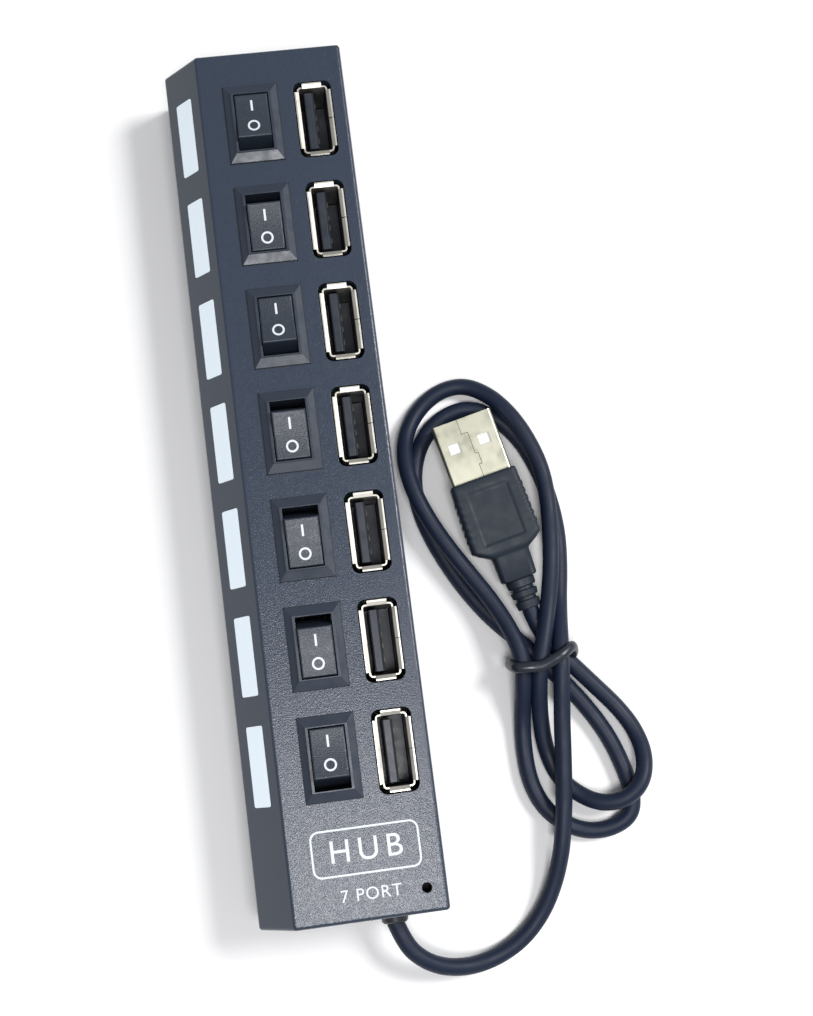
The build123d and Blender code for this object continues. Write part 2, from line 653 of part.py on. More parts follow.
def make_strain_relief():
    """Rubber grommet: a flange inside the wall, a groove, and a tapered collar outside."""
    outside = -CASE_LENGTH / 2
    gap = FIT / 2
    axis_plane = Plane(origin=(EXIT_X, outside, EXIT_HEIGHT), x_dir=(1, 0, 0), z_dir=(0, 0, 1))
    with BuildPart() as relief:
        with BuildSketch(axis_plane):
            Polygon(
                (0, -RELIEF_REACH),
                (RELIEF_RADIUS_AT_END, -RELIEF_REACH),
                (RELIEF_RADIUS_AT_END + RELIEF_ROUNDING, -RELIEF_REACH + RELIEF_ROUNDING),
                (RELIEF_RADIUS_AT_WALL, -gap),
                (GLAND_RADIUS - gap, -gap),
                (GLAND_RADIUS - gap, WALL + gap),
                (RELIEF_FLANGE_RADIUS, WALL + gap),
                (RELIEF_FLANGE_RADIUS, WALL + RELIEF_FLANGE_THICKNESS),
                (0, WALL + RELIEF_FLANGE_THICKNESS),
                align=None,
            )
        revolve(axis=Axis((EXIT_X, outside, EXIT_HEIGHT), (0, 1, 0)))
    write(relief, "strain_relief")


def make_cable_wires():
    """Four insulated conductors from the cord to the board's top."""
    start_y = -CASE_LENGTH / 2 + WALL + RELIEF_FLANGE_THICKNESS
    landing = BOARD_TOP + WIRE_RADIUS
    with BuildPart() as wires:
        for across in WIRE_OFFSETS:
            x = EXIT_X + across
            with BuildLine() as route:
                FilletPolyline(
                    (x, start_y, landing + WIRE_DROP),
                    (x, start_y + 2.4, landing + WIRE_DROP),
                    (x, start_y + 5.4, landing),
                    (x, start_y + 8.6, landing),
                    radius=WIRE_BEND_RADIUS,
                )
            with BuildSketch(Plane(origin=route.line @ 0, z_dir=route.line % 0)):
                Circle(WIRE_RADIUS)
            sweep(path=route.line)
    write(wires, "cable_wires")


def make_cord_lead():
    """Free cord from the strain relief to the hank: straight runs joined by tangent arcs."""
    radii = corner_radii(LEAD_ROUTE)
    print("lead radii:", [round(radius, 1) for radius in radii])
    with BuildPart() as lead:
        with BuildLine() as route:
            FilletPolyline(*LEAD_ROUTE, radius=radii)
        with BuildSketch(Plane(origin=route.line @ 0, z_dir=route.line % 0)) as section:
            Circle(CORD_DIAMETER / 2)
        sweep(path=route.line)
    length = sum(edge.length for edge in route.edges())
    expected = section.sketch.area * length
    print("lead volume:", round(lead.part.volume, 1), "section times length:", round(expected, 1))
    write(lead, "cord_lead")


def make_cord_hank():
    """Outer shape of the tied hank: a long loop, a narrow waist in the tie, and a short loop."""
    long_loop = [
        (48.4, -34.0), (50.3, -17.0), (47.6, 3.0), (41.0, 13.8), (32.0, 17.4),
        (23.0, 13.6), (19.3, 3.5), (21.2, -9.5), (29.0, -24.0), (36.6, -34.0),
    ]
    long_window = [
        (43.0, -31.6), (45.1, -17.0), (43.6, 0.0), (38.0, 7.4), (31.5, 8.9),
        (25.8, 4.8), (24.3, -5.0), (30.2, -19.2), (38.4, -31.4),
    ]
    short_loop = [
        (48.2, -44.0), (56.6, -50.2), (59.6, -58.0), (57.4, -68.6), (48.6, -73.3),
        (39.0, -70.4), (34.9, -60.0), (36.2, -44.0),
    ]
    short_window = [(46.4, -48.5), (51.2, -55.0), (50.6, -63.0), (46.4, -62.5), (45.2, -56.0)]
    crossing_middle = (35.0, -22.0)
    crossing_size = 40.0
    tie_gap_length = 30.0
    tie_gap_width = 3.0
    waist = [(36.0, -31.8), (47.6, -31.8), (47.8, -39.0), (48.6, -46.4), (35.9, -46.4), (35.9, -39.0)]
    with BuildPart() as hank:
        with BuildSketch():
            with BuildLine():
                Spline(*long_loop, periodic=True)
            make_face()
            with BuildLine():
                Spline(*long_window, periodic=True)
            make_face(mode=Mode.SUBTRACT)
        extrude(amount=LAYER)
        with BuildSketch(Plane.XY.offset(LAYER)):
            with BuildLine():
                Spline(*long_loop, periodic=True)
            make_face()
            with BuildLine():
                Spline(*long_window, periodic=True)
            make_face(mode=Mode.SUBTRACT)
            with Locations(crossing_middle):
                Rectangle(crossing_size, crossing_size, mode=Mode.INTERSECT)
        extrude(amount=HANK_HEIGHT - LAYER)
        with BuildSketch():
            with BuildLine():
                Spline(*short_loop, periodic=True)
            make_face()
            with BuildLine():
                Spline(*short_window, periodic=True)
            make_face(mode=Mode.SUBTRACT)
        extrude(amount=HANK_HEIGHT)
        with BuildSketch(Plane.XY.offset(BUNDLE_LOW)):
            Polygon(*waist, align=None)
        extrude(amount=BUNDLE_HIGH - BUNDLE_LOW)
        with BuildSketch():
            with Locations((TIE_MIDDLE_X, TIE_Y)):
                Rectangle(tie_gap_length, tie_gap_width)
        extrude(amount=BUNDLE_LOW, mode=Mode.SUBTRACT)
    write(hank, "cord_hank")


def make_cord_tail():
    """Short end of the cord between the hank's waist and the plug."""
    start = plug_plane().from_local_coords((0, -PLUG_RELIEF_LENGTH, 0))
    with BuildPart() as tail:
        with BuildLine() as route:
            Line(start, (41.5, -32.0, 4.3))
        with BuildSketch(Plane(origin=route.line @ 0, z_dir=route.line % 0)):
            Circle(CORD_DIAMETER / 2)
        sweep(path=route.line)
    write(tail, "cord_tail")


def make_cord_tie():
    """Soft band closed round the hank's waist."""
    middle = (TIE_MIDDLE_X, (BUNDLE_LOW + BUNDLE_HIGH) / 2)
    width = TIE_INNER_LENGTH
    height = BUNDLE_HIGH - BUNDLE_LOW + FIT
    with BuildPart() as tie:
        with BuildSketch(Plane.XZ.offset(-TIE_Y)):
            with Locations(middle):
                RectangleRounded(width + 2 * TIE_THICKNESS, height + 2 * TIE_THICKNESS, TIE_OUTER_RADIUS)
                RectangleRounded(width, height, TIE_INNER_RADIUS, mode=Mode.SUBTRACT)
        extrude(amount=TIE_WIDTH / 2, both=True)
    write(tie, "cord_tie")


def make_plug_grip():
    """Moulded grip: wide body, narrow neck, and a ribbed relief round the cord."""
    plug = plug_plane()
    shoulder_half = NECK_HALF_WIDTH + SHOULDER_STEP
    front_half = GRIP_HALF_WIDTH - GRIP_DRAFT
    with BuildPart() as grip:
        with BuildSketch(plug):
            Polygon(
                (-shoulder_half, NECK_LENGTH),
                (-GRIP_HALF_WIDTH, NECK_LENGTH + SHOULDER_LENGTH),
                (-front_half, GRIP_LENGTH),
                (front_half, GRIP_LENGTH),
                (GRIP_HALF_WIDTH, NECK_LENGTH + SHOULDER_LENGTH),
                (shoulder_half, NECK_LENGTH),
                align=None,
            )
        extrude(amount=GRIP_HALF_HEIGHT, both=True)
        long_edges = grip.faces().filter_by(Axis((0, 0, 0), plug.z_dir)).edges()
        fillet(long_edges, GRIP_EDGE_RADIUS)
        with BuildSketch(plug_section(0)):
            RectangleRounded(2 * NECK_HALF_WIDTH, 2 * NECK_HALF_HEIGHT, NECK_EDGE_RADIUS)
        extrude(amount=NECK_LENGTH + 1.0)
        with BuildSketch(plug):
            Polygon(
                (0, 0),
                (2.9, 0),
                (2.8, -1.4),
                (2.2, -1.5),
                (2.2, -2.0),
                (2.6, -2.1),
                (2.5, -3.4),
                (2.0, -3.5),
                (2.0, -4.0),
                (2.35, -4.1),
                (2.2, -PLUG_RELIEF_LENGTH),
                (0, -PLUG_RELIEF_LENGTH),
                align=None,
            )
        revolve(axis=Axis(plug.origin, plug.y_dir))
        with BuildSketch(plug_section(GRIP_LENGTH)):
            Rectangle(PLUG_SHELL[0], PLUG_SHELL[1])
        extrude(amount=-PLUG_ROOT, mode=Mode.SUBTRACT)
    write(grip, "plug_grip")


def make_plug_shell():
    """Sheet metal shell, open at the tip, with two square holes above and below."""
    plug = plug_plane()
    hole_y = GRIP_LENGTH + PLUG_SHELL_REACH - PLUG_HOLE_FROM_TIP
    with BuildPart() as shell:
        with BuildSketch(plug_section(GRIP_LENGTH - PLUG_ROOT)):
            RectangleRounded(*PLUG_SHELL, PLUG_CORNER_RADIUS)
            offset(amount=-PLUG_SHEET, mode=Mode.SUBTRACT)
        extrude(amount=PLUG_SHELL_REACH + PLUG_ROOT)
        with BuildSketch(plug):
            with Locations((-PLUG_HOLE_X, hole_y), (PLUG_HOLE_X, hole_y)):
                Rectangle(*PLUG_HOLE)
        extrude(amount=PLUG_SHELL[1], both=True, mode=Mode.SUBTRACT)
    write(shell, "plug_shell")


def make_plug_inside():
    """Insulator that fills the upper half of the shell, and its four contacts below it."""
    inner_width = PLUG_SHELL[0] - 2 * PLUG_SHEET - FIT
    inner_half = PLUG_SHELL[1] / 2 - PLUG_SHEET - FIT / 2
    with BuildPart() as insulator:
        with BuildSketch(plug_section(GRIP_LENGTH - PLUG_ROOT + FIT)):
            with Locations((0, PLUG_INSULATOR_THICKNESS / 2 - inner_half)):
                RectangleRounded(inner_width, PLUG_INSULATOR_THICKNESS, PLUG_INSULATOR_RADIUS)
        extrude(amount=PLUG_SHELL_REACH + PLUG_ROOT - PLUG_INSULATOR_RECESS)
    write(insulator, "plug_insulator")
    with BuildPart() as contacts:
        with BuildSketch(plug_section(GRIP_LENGTH)):
            for across in CONTACT_OFFSETS:
                with Locations((across, PLUG_INSULATOR_THICKNESS + CONTACT_SHEET / 2 - inner_half)):
                    Rectangle(CONTACT_WIDTH, CONTACT_SHEET)
        extrude(amount=PLUG_SHELL_REACH - PLUG_CONTACT_RECESS)
    write(contacts, "plug_contacts")


make_top_cover()
make_bottom_cover()
make_screws("cover_screws", COVER_SCREWS, 0.2, 2.2, 1.0, 1.0, 9.0)
make_screws("board_screws", BOARD_SCREWS, BOARD_TOP - BOARD_THICKNESS - 1.2, 1.6, 1.2, 0.75, 7.0)
make_circuit_board()
make_board_parts()
make_light_guide()
for index, (position, far_end_down) in enumerate(zip(ROW_POSITIONS, PRESSED_AT_FAR_END)):
    direction = -1 if far_end_down else 1
    make_port_shell(index + 1, position)
    make_port_insulator(index + 1, position)
    make_switch_housing(index + 1, position)
    make_switch_rocker(index + 1, position, direction * ROCKER_TILT)
    make_switch_lever(index + 1, position, -direction * LEVER_TILT)
make_port_contacts()
make_switch_terminals()
make_strain_relief()
make_cable_wires()
make_cord_lead()
make_cord_hank()
make_cord_tail()
make_cord_tie()
make_plug_grip()
make_plug_shell()
make_plug_inside()
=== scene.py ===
"""Looks of a seven-socket USB hub with a switch for each socket and a tied cord.

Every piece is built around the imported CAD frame, in metres. MM turns millimetres into metres.
"""

import json
from math import cos, pi, radians, sin

import bmesh
import bpy
from mathutils import Matrix, Vector


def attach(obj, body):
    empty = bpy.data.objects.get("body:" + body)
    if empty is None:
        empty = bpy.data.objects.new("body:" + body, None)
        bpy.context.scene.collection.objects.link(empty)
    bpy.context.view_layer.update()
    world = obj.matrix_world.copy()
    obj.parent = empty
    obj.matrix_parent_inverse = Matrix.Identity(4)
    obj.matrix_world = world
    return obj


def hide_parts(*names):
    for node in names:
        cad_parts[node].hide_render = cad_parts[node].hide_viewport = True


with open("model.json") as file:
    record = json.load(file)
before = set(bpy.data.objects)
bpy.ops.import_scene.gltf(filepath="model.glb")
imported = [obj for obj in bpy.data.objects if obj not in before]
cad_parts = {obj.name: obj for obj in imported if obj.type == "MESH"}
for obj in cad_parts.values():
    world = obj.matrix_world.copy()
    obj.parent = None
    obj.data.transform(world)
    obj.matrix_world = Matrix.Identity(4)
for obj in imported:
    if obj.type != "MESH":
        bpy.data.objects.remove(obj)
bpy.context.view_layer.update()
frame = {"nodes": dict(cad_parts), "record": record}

MM = 0.001
ROOT = "case"
ROWS = range(1, 8)
ROW_JOINTS = {joint["name"]: joint for joint in frame["record"]["behaviour"]["joints"]}

# ---------------------------------------------------------------- camera

CAMERA_PLACE = Vector((-2.94, -46.21, 284.13)) * MM
CAMERA_TARGET = Vector((19.06, -7.77, 11.0)) * MM
CAMERA_UP = Vector((0.1174, 0.9820, 0.1477))
CAMERA_LENS = 52.02
SENSOR_WIDTH = 36
CLIP_START = 0.01


def make_camera():
    """Looks down at the hub from over its lower half, a little turned."""
    backward = (CAMERA_PLACE - CAMERA_TARGET).normalized()
    right = CAMERA_UP.cross(backward).normalized()
    up = backward.cross(right)
    camera = bpy.data.cameras.new("camera")
    camera.lens = CAMERA_LENS
    camera.sensor_width = SENSOR_WIDTH
    camera.clip_start = CLIP_START
    holder = bpy.data.objects.new("camera", camera)
    turn = Matrix((right, up, backward)).transposed()
    holder.matrix_world = Matrix.Translation(CAMERA_PLACE) @ turn.to_4x4()
    bpy.context.collection.objects.link(holder)
    bpy.context.scene.camera = holder


make_camera()

# ---------------------------------------------------------------- cord

CORD_DIAMETER = 3.2
LEAD_ROUTE = [
    (7.5, -82.9, 8.0),
    (8.7, -86.9, 7.9),
    (11.4, -90.2, 7.2),
    (15.4, -92.5, 5.7),
    (20.6, -93.4, 3.8),
    (26.2, -92.5, 2.3),
    (31.4, -89.9, 1.75),
    (35.6, -85.6, 2.0),
    (38.4, -80.4, 3.1),
    (40.1, -75.2, 4.5),
    (40.9, -71.4, 5.1),
]
# Over both lower turns, through the tie and up the right side of the inner long loop.
INNER_LOOP = [
    (42.0, -65.0, 5.4), (42.9, -57.5, 5.6), (43.6, -50.5, 5.8), (44.3, -44.0, 7.2), (44.9, -38.6, 7.5),
    (45.8, -33.0, 5.0), (46.9, -27.5, 2.2), (48.0, -21.5, 1.75), (48.6, -14.8, 1.75), (48.0, -8.0, 1.75),
    (46.4, -1.6, 1.75), (43.8, 4.4, 1.75), (39.8, 9.2, 1.75), (35.0, 11.8, 1.75), (30.4, 11.2, 1.75),
    (26.4, 8.6, 1.75), (23.6, 4.8, 1.75), (22.0, 0.0, 1.75), (21.9, -5.4, 1.75), (23.4, -11.8, 1.75),
    (26.2, -18.4, 1.75), (29.6, -24.6, 1.75), (33.6, -30.2, 1.9),
]
# Under the tie, round the right side of the outer short loop, and back up through the tie.
OUTER_TURN = [
    (38.2, -35.2, 3.5), (42.6, -40.4, 3.85), (46.6, -45.2, 2.6), (50.0, -50.0, 1.75), (52.8, -55.2, 1.75),
    (54.6, -60.6, 1.75), (55.8, -66.0, 1.75), (55.0, -70.2, 1.75), (51.0, -72.2, 1.75), (46.0, -72.2, 1.75),
    (41.6, -70.0, 1.75), (38.2, -66.4, 1.75), (36.4, -61.4, 1.75), (36.1, -55.4, 1.75), (36.6, -49.4, 2.4),
    (37.2, -43.6, 5.8), (37.6, -38.6, 7.5),
]
# Up the left side of the outer long loop, over the inner one, and back down to the tie.
OUTER_LOOP = [
    (36.4, -33.4, 6.6), (33.6, -27.0, 5.3), (30.0, -21.2, 5.2), (26.4, -15.4, 5.2), (23.4, -9.6, 5.2),
    (21.2, -3.6, 5.1), (20.4, 2.2, 4.2), (21.2, 7.6, 2.3), (24.2, 12.4, 1.75), (28.8, 15.8, 1.75),
    (34.0, 16.6, 1.9), (38.6, 13.8, 3.2), (42.2, 9.0, 4.8), (44.9, 3.4, 5.25), (46.7, -2.6, 5.25),
    (47.0, -9.0, 5.25), (46.5, -15.6, 5.25), (45.7, -21.8, 5.25), (44.4, -27.8, 5.4), (42.7, -33.4, 6.6),
    (41.0, -38.6, 7.5),
]
# Down the inner short loop, up its right side over the outer one, and through the tie to the plug.
INNER_TURN = [
    (40.1, -43.8, 6.0), (39.9, -50.0, 3.0), (40.3, -56.0, 1.75), (41.9, -61.4, 1.75), (45.2, -65.0, 2.2),
    (49.0, -67.2, 4.2), (53.4, -67.1, 5.3), (57.2, -64.4, 5.3), (58.8, -59.6, 3.9), (58.0, -54.4, 2.0),
    (55.2, -49.6, 1.9), (51.2, -45.0, 2.8), (47.2, -40.4, 3.85), (43.6, -35.9, 4.0), (41.4, -32.0, 4.2),
    (40.7, -28.84, 4.3),
]
CORD_ROUTE = LEAD_ROUTE + INNER_LOOP + OUTER_TURN + OUTER_LOOP + INNER_TURN


def make_cord():
    curve = bpy.data.curves.new("cord", "CURVE")
    curve.dimensions = "3D"
    spline = curve.splines.new("NURBS")
    spline.points.add(len(CORD_ROUTE) - 1)
    for control, place in zip(spline.points, CORD_ROUTE):
        control.co = (*(Vector(place) * MM), 1)
        control.radius = CORD_DIAMETER / 2 * MM  # the bevel of 1 is scaled by it
    spline.order_u = 3
    spline.use_endpoint_u = True
    spline.resolution_u = 8
    curve.bevel_depth = 1
    curve.bevel_resolution = 6
    curve.use_fill_caps = True
    cord = bpy.data.objects.new("cord", curve)
    bpy.context.collection.objects.link(cord)
    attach(cord, ROOT)
    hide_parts("cord_lead", "cord_hank", "cord_tail")
    return cord


cord = make_cord()

# ---------------------------------------------------------------- materials

GRAIN = 4200
FACES_UP = 0.93
# Heights in millimetres between which the painted shade inside the sockets fades out: full at DEEP, gone at
# LIP.
DEEP = 18.5
LIP = 21.5


class Surface:
    """One procedural material, built up a node at a time."""

    def __init__(self, name, colour, roughness, metallic=0.0, specular=0.5):
        self.material = bpy.data.materials.new(name)
        self.material.use_nodes = True
        self.nodes = self.material.node_tree.nodes
        self.links = self.material.node_tree.links
        self.shader = self.nodes["Principled BSDF"]
        self.shader.inputs["Base Color"].default_value = (*colour, 1)
        self.shader.inputs["Roughness"].default_value = roughness
        self.shader.inputs["Metallic"].default_value = metallic
        self.shader.inputs["Specular IOR Level"].default_value = specular
        self.place = self.nodes.new("ShaderNodeTexCoord")
        self.normal = None

    def link(self, source, target):
        self.links.new(source, target)

    def noise(self, scale, detail=2.0, stretch=(1, 1, 1)):
        texture = self.nodes.new("ShaderNodeTexNoise")
        texture.inputs["Scale"].default_value = scale
        texture.inputs["Detail"].default_value = detail
        mapping = self.nodes.new("ShaderNodeMapping")
        mapping.inputs["Scale"].default_value = stretch
        self.link(self.place.outputs["Object"], mapping.inputs["Vector"])
        self.link(mapping.outputs["Vector"], texture.inputs["Vector"])
        return texture.outputs["Fac"]

    def ranged(self, value, low, high, start=0.35, end=0.65):
        change = self.nodes.new("ShaderNodeMapRange")
        change.inputs["From Min"].default_value = start
        change.inputs["From Max"].default_value = end
        change.inputs["To Min"].default_value = low
        change.inputs["To Max"].default_value = high
        self.link(value, change.inputs["Value"])
        return change.outputs["Result"]

    def upward(self):
        """One on faces that look up out of the case, and nought elsewhere."""
        parts = self.nodes.new("ShaderNodeSeparateXYZ")
        self.link(self.place.outputs["Normal"], parts.inputs["Vector"])
        return self.ranged(parts.outputs["Z"], 0, 1, FACES_UP - 0.04, FACES_UP)

    def height(self, low, high):
        """Rises from nought to one between two heights over the floor, in millimetres."""
        place = self.nodes.new("ShaderNodeNewGeometry")
        parts = self.nodes.new("ShaderNodeSeparateXYZ")
        self.link(place.outputs["Position"], parts.inputs["Vector"])
        return self.ranged(parts.outputs["Z"], 0, 1, low * MM, high * MM)

    def product(self, first, second):
        maths = self.nodes.new("ShaderNodeMath")
        maths.operation = "MULTIPLY"
        self.link(first, maths.inputs[0])
        self.link(second, maths.inputs[1])
        return maths.outputs["Value"]

    def round_edges(self, radius):
        bevel = self.nodes.new("ShaderNodeBevel")
        bevel.samples = 4
        bevel.inputs["Radius"].default_value = radius * MM
        self.normal = bevel.outputs["Normal"]
        self.link(self.normal, self.shader.inputs["Normal"])
        return self

    def bump(self, height, depth, mask=None):
        bump = self.nodes.new("ShaderNodeBump")
        bump.inputs["Distance"].default_value = depth * MM
        bump.inputs["Strength"].default_value = 1
        if mask is not None:
            self.link(self.product(mask, self.ranged(height, 0.6, 1.0)), bump.inputs["Strength"])
        self.link(height, bump.inputs["Height"])
        if self.normal is not None:
            self.link(self.normal, bump.inputs["Normal"])
        self.normal = bump.outputs["Normal"]
        self.link(self.normal, self.shader.inputs["Normal"])
        return self

    def vary_roughness(self, value, low, high):
        self.link(self.ranged(value, low, high), self.shader.inputs["Roughness"])
        return self

    def vary_colour(self, value, dark, light):
        blend = self.nodes.new("ShaderNodeMix")
        blend.data_type = "RGBA"
        blend.inputs["A"].default_value = (*dark, 1)
        blend.inputs["B"].default_value = (*light, 1)
        self.link(value, blend.inputs["Factor"])
        self.link(blend.outputs["Result"], self.shader.inputs["Base Color"])
        return self


def sparked(name, smooth_colour, grained_colour, rough_low, rough_high, depth):
    """Black plastic with a spark-eroded top and plainer sides."""
    surface = Surface(name, smooth_colour, rough_low)
    surface.round_edges(0.12)
    up = surface.upward()
    grain = surface.noise(GRAIN, 3)
    surface.bump(grain, depth, mask=up)
    surface.vary_colour(surface.product(up, surface.ranged(grain, 0.5, 1)), smooth_colour, grained_colour)
    surface.vary_roughness(surface.noise(900), rough_low, rough_high)
    return surface.material


def satin(name, colour, roughness, grain=2500, depth=0.012, specular=0.5, edge=0.12):
    surface = Surface(name, colour, roughness, specular=specular)
    if edge:
        surface.round_edges(edge)
    surface.bump(surface.noise(grain, 3), depth)
    surface.vary_roughness(surface.noise(grain / 6), roughness - 0.06, roughness + 0.06)
    return surface.material


def metal(name, colour, roughness, stretch=(1, 1, 1), depth=0.003, edge=0.08, painted_depth_shade_colour=None):
    surface = Surface(name, colour, roughness, metallic=1.0)
    # Painted shade: the base colour darkens towards the bottom of a socket, below its lip.
    if painted_depth_shade_colour is not None:
        surface.vary_colour(surface.height(DEEP, LIP), painted_depth_shade_colour, colour)
    if edge:
        surface.round_edges(edge)
    surface.bump(surface.noise(1500, 4, stretch), depth)
    surface.vary_roughness(surface.noise(300), roughness - 0.06, roughness + 0.08)
    return surface.material


# Painted glow: emission makes a part bright although no lamp lights it.
def painted_glow(name, colour, roughness, strength):
    surface = Surface(name, colour, roughness)
    surface.shader.inputs["Emission Color"].default_value = (*colour, 1)
    surface.shader.inputs["Emission Strength"].default_value = strength
    surface.bump(surface.noise(600), 0.01)
    surface.vary_roughness(surface.noise(200), roughness - 0.05, roughness + 0.05)
    return surface.material


CASE = sparked("case_plastic", (0.028, 0.040, 0.064), (0.031, 0.043, 0.068), 0.22, 0.27, 0.060)
SWITCH = sparked("switch_plastic", (0.020, 0.028, 0.042), (0.030, 0.038, 0.053), 0.32, 0.39, 0.080)
BEZEL = satin("bezel_plastic", (0.026, 0.035, 0.053), 0.36, depth=0.008)
# Painted glow: the light-guide windows shine by emission, with no lit lamp behind them.
WINDOW = painted_glow("window_plastic", (0.80, 0.90, 0.98), 0.30, 0.15)
# Painted shade: the socket sheet is painted darker with depth, standing in for the shade inside the sockets.
SHELL = metal("nickel_plate", (0.70, 0.67, 0.60), 0.42, painted_depth_shade_colour=(0.10, 0.10, 0.10))
PLUG_METAL = metal("plug_nickel_plate", (0.44, 0.435, 0.35), 0.34, (1, 12, 1), 0.0006)
TONGUE = satin("tongue_plastic", (0.018, 0.023, 0.034), 0.38)
WHITE_PLASTIC = satin("white_plastic", (0.86, 0.87, 0.86), 0.40)
GOLD = metal("gold_flash", (0.90, 0.68, 0.34), 0.22)
# Painted shade: the socket contacts' gold flash is painted dark, standing in for the shade inside the
# sockets.
PAINTED_SHADE_GOLD = metal("gold_flash_painted_shade", (0.10, 0.085, 0.06), 0.50)
STEEL = metal("zinc_plate", (0.62, 0.62, 0.64), 0.30)
BOARD = satin("solder_resist", (0.012, 0.10, 0.040), 0.30)
CHIP = satin("chip_resin", (0.020, 0.020, 0.022), 0.55)
LED = satin("led_lens", (0.01, 0.01, 0.012), 0.60, specular=0.1)
WIRE = satin("wire_sleeve", (0.30, 0.05, 0.04), 0.45)
RUBBER = satin("relief_rubber", (0.018, 0.021, 0.028), 0.42)
CORD = satin("cord_vinyl", (0.007, 0.013, 0.032), 0.52, 1400, 0.020, specular=0.3, edge=0)
GRIP = satin("grip_vinyl", (0.014, 0.021, 0.032), 0.50, 2600, 0.016, specular=0.28, edge=0)
TIE = satin("tie_vinyl", (0.016, 0.020, 0.030), 0.30, 1200, 0.015, edge=0)
INK = satin("white_ink", (0.66, 0.70, 0.74), 0.50, edge=0)
DARK = satin("seam_shade", (0.010, 0.010, 0.012), 0.60, edge=0)

NODE_MATERIALS = {
    "top_cover": CASE, "bottom_cover": CASE, "cover_screws": STEEL, "board_screws": STEEL,
    "circuit_board": BOARD, "hub_controllers": CHIP, "crystal": STEEL, "capacitors": STEEL,
    "indicator_leds": LED, "status_led": LED, "light_guide": WINDOW, "port_contacts": PAINTED_SHADE_GOLD,
    "switch_terminals": GOLD, "cable_wires": WIRE, "strain_relief": RUBBER, "cord_lead": CORD,
    "cord_hank": CORD, "cord_tail": CORD, "cord_tie": TIE, "plug_grip": GRIP, "plug_shell": PLUG_METAL,
    "plug_insulator": WHITE_PLASTIC, "plug_contacts": GOLD,
}
for row in ROWS:
    NODE_MATERIALS[f"port_shell_{row}"] = SHELL
    NODE_MATERIALS[f"port_insulator_{row}"] = TONGUE
    NODE_MATERIALS[f"switch_housing_{row}"] = BEZEL
    NODE_MATERIALS[f"switch_rocker_{row}"] = SWITCH
    NODE_MATERIALS[f"switch_lever_{row}"] = GOLD


def paint(piece, material):
    piece.data.materials.clear()
    piece.data.materials.append(material)


for node, material in NODE_MATERIALS.items():
    paint(frame["nodes"][node], material)
paint(cord, CORD)

# ---------------------------------------------------------------- pieces


def mesh_piece(name, points, faces, material, body, place=None, smooth=True):
    """A mesh from points in millimetres, riding on a CAD body."""
    mesh = bpy.data.meshes.new(name)
    mesh.from_pydata([Vector(point) * MM for point in points], [], faces)
    cleaner = bmesh.new()
    cleaner.from_mesh(mesh)
    bmesh.ops.remove_doubles(cleaner, verts=cleaner.verts, dist=1e-7)
    bmesh.ops.recalc_face_normals(cleaner, faces=cleaner.faces)
    cleaner.to_mesh(mesh)
    cleaner.free()
    for face in mesh.polygons:
        face.use_smooth = smooth
    if smooth:
        mesh.set_sharp_from_angle(angle=radians(38))
    piece = bpy.data.objects.new(name, mesh)
    if place is not None:
        piece.matrix_world = place
    bpy.context.collection.objects.link(piece)
    paint(piece, material)
    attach(piece, body)
    return piece


def ring_faces(rings, size, closed):
    """Quads between neighbouring rings, and a cap on each end of an open run."""
    faces = []
    for ring in range(rings if closed else rings - 1):
        here, after = ring * size, (ring + 1) % rings * size
        for step in range(size):
            beside = (step + 1) % size
            faces.append((here + step, here + beside, after + beside, after + step))
    if not closed:
        faces.append(tuple(range(size)))
        faces.append(tuple(range((rings - 1) * size, rings * size)))
    return faces


def box_points(low, high):
    corners = [(x, y, z) for x in (low[0], high[0]) for y in (low[1], high[1]) for z in (low[2], high[2])]
    faces = [(0, 1, 3, 2), (4, 6, 7, 5), (0, 4, 5, 1), (2, 3, 7, 6), (0, 2, 6, 4), (1, 5, 7, 3)]
    return corners, faces


def boxes_piece(name, boxes, material, body, place=None):
    points, faces = [], []
    for low, high in boxes:
        corners, sides = box_points(low, high)
        faces += [tuple(len(points) + corner for corner in side) for side in sides]
        points += corners
    return mesh_piece(name, points, faces, material, body, place, smooth=False)


# Tie: a soft round band, closed over and under the hank's waist.
TIE_ROUTE = [
    (35.15, -39.2, 5.5), (35.8, -40.0, 8.8), (38.05, -40.2, 9.75), (40.5, -40.3, 9.8), (43.0, -39.4, 9.8),
    (45.0, -38.5, 9.7), (47.0, -37.3, 8.4), (47.8, -38.1, 5.8), (47.3, -38.9, 2.8), (45.2, -39.1, 1.35),
    (41.5, -39.3, 1.2), (37.6, -39.3, 1.5), (35.6, -39.1, 3.0),
]
TIE_HALF_WIDTH = 1.05
TIE_HALF_THICKNESS = 0.8
TIE_STEPS = 6
TIE_SIDES = 16


def smooth_closed(route, steps):
    """Catmull-Rom points through a closed route."""
    places = []
    count = len(route)
    for index in range(count):
        before, here, after, last = (Vector(route[(index + shift) % count]) for shift in (-1, 0, 1, 2))
        for step in range(steps):
            t = step / steps
            places.append(0.5 * (
                2 * here + (after - before) * t + (2 * before - 5 * here + 4 * after - last) * t * t
                + (3 * here - before - 3 * after + last) * t * t * t
            ))
    return places


def make_tie():
    places = smooth_closed(TIE_ROUTE, TIE_STEPS)
    points = []
    for index, place in enumerate(places):
        along = (places[(index + 1) % len(places)] - places[index - 1]).normalized()
        wide = (Vector((0, 1, 0)) - along * along.y).normalized()
        thick = along.cross(wide)
        for side in range(TIE_SIDES):
            angle = 2 * pi * side / TIE_SIDES
            outward = wide * cos(angle) * TIE_HALF_WIDTH + thick * sin(angle) * TIE_HALF_THICKNESS
            points.append(place + outward)
    tie = mesh_piece("tie", points, ring_faces(len(places), TIE_SIDES, True), TIE, ROOT)
    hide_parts("cord_tie")
    return tie


